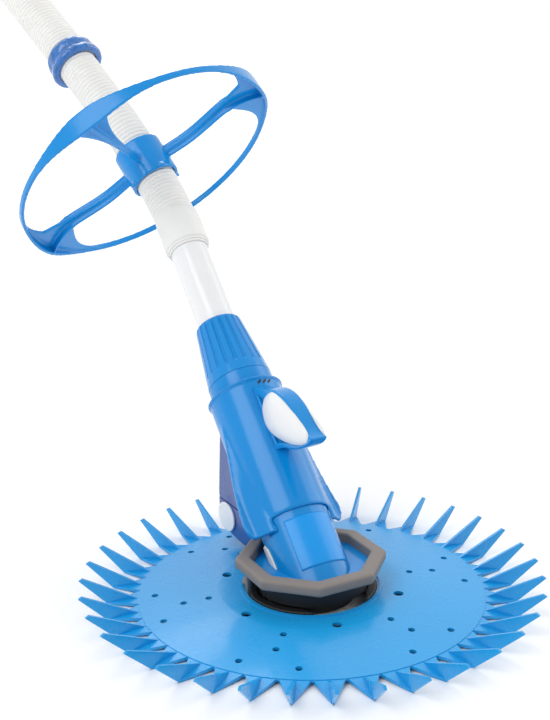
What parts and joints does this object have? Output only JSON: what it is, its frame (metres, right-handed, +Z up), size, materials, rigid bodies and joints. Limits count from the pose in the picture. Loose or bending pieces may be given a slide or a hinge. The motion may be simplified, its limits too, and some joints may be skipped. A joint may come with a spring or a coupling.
{
  "type": "pool cleaner",
  "caption": "Suction pool cleaner: finned turning disc, octagonal foot pad, inclined head with hood and hand nut, pipe, ribbed leader hose, deflector wheel and weight.",
  "frame": {"origin": "on the floor under the centre of the disc, where the disc axis meets the floor", "axes": "+Z up along the disc axis, -Y towards the nose and hood, +Y the way the tube and hose lean back, +X to the right seen from the nose"},
  "size_m": [0.4052, 0.8185, 0.6215],
  "materials": {
    "disc": "glossy flexible sheet",
    "pad": "matt moulded rubber",
    "blue": "glossy moulded plastic",
    "navy": "glossy moulded plastic",
    "white": "smooth moulded plastic",
    "grey": "plain moulded plastic",
    "black": "soft rubber",
    "black_metal": "painted casting",
    "steel": "plain",
    "hose": "corrugated plastic",
    "weight": "dipped glossy coat",
    "iron": "raw casting"
  },
  "bodies": {
    "head": {"foot_pad": "pad", "base_plate": "blue", "inlet_throat": "black", "ballast_ring": "black_metal", "base_screws": "steel", "body_shell": "blue", "nose_pad_left": "white", "nose_pad_right": "white", "cowl": "blue", "hood": "blue", "hood_pad_left": "white", "hood_pad_right": "white", "rear_fairing": "navy", "rear_heel": "navy", "heel_oval_left": "white", "heel_oval_right": "white", "cassette_housing": "grey", "retaining_ring": "grey", "diaphragm": "black", "inner_pipe": "white", "neck_seal": "black", "outer_pipe": "white"},
    "disc": {"finned_disc": "disc"},
    "ring_carrier": {"compression_ring": "grey"},
    "nut": {"hand_nut": "blue"},
    "hose": {"lower_cuff": "hose", "leader_hose": "hose", "upper_cuff": "hose", "hub_clips": "grey", "weight_cover": "weight", "weight_core": "iron"},
    "wheel": {"deflector_wheel": "blue"}
  },
  "joints": [
    {"name": "disc_spin", "type": "hinge", "parent": "head", "child": "disc", "pos_m": [0, 0, 0.008], "axis": [0, 0, 1], "continuous": true},
    {"name": "nut_lift", "type": "slide", "parent": "head", "child": "ring_carrier", "axis": [0, 0.7071, 0.7071], "range_m": [0, 0.006]},
    {"name": "nut_turn", "type": "hinge", "parent": "ring_carrier", "child": "nut", "pos_m": [0, 0.13435, 0.16185], "axis": [0, 0.7071, 0.7071], "range_deg": [0, 540]},
    {"name": "hose_swivel", "type": "hinge", "parent": "head", "child": "hose", "pos_m": [0, 0.24395, 0.27145], "axis": [0, 0.7071, 0.7071], "range_deg": [-180, 180]},
    {"name": "wheel_spin", "type": "hinge", "parent": "hose", "child": "wheel", "pos_m": [-0.01127, 0.32151, 0.35209], "axis": [-0.2151, 0.6562, 0.7233], "continuous": true}
  ],
  "couplings": [
    {"joint": "nut_lift", "follows": "nut_turn", "m_per_rad": 0.00063662}
  ]
}
